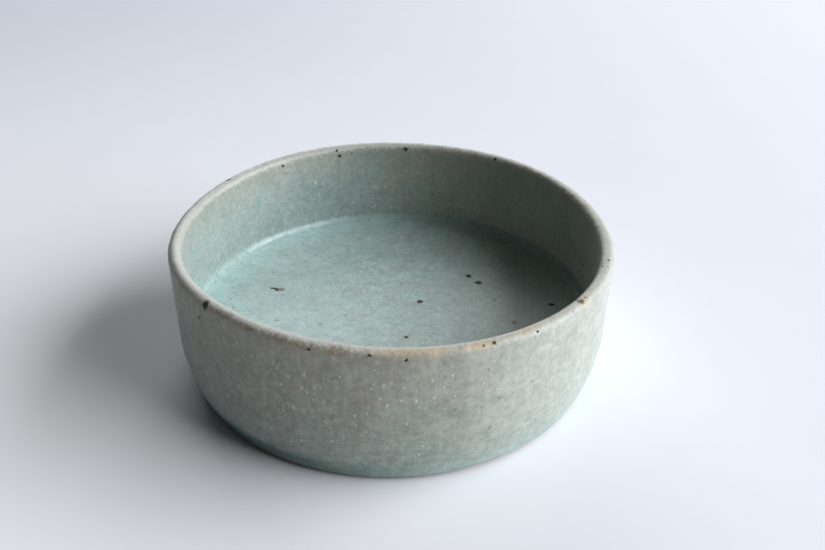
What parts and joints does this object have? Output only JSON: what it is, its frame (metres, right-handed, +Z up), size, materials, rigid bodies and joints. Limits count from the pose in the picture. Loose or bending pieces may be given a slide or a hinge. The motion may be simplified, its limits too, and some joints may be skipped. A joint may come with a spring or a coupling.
{
  "type": "ikebana suiban",
  "caption": "Low round stoneware flower basin with a near-upright wall, rounded lip, flat floor, pooled celadon glaze and a bare turned foot.",
  "frame": {"origin": "centre of the circle that the foot ring stands on, on the standing plane", "axes": "+Z up along the turning axis; the picture looks along +Y and down"},
  "size_m": [0.1998, 0.1998, 0.0695],
  "materials": {
    "bare_stoneware": "matt, turned, iron-flashed fired clay",
    "lining_glaze": "satin grey-green celadon, turquoise where it pools",
    "coat_glaze": "satin grey-green celadon with white feldspar grains, cream on the lip"
  },
  "bodies": {
    "root": {"stoneware_body": "bare_stoneware", "inner_glaze": "lining_glaze", "outer_glaze": "coat_glaze"}
  },
  "joints": []
}
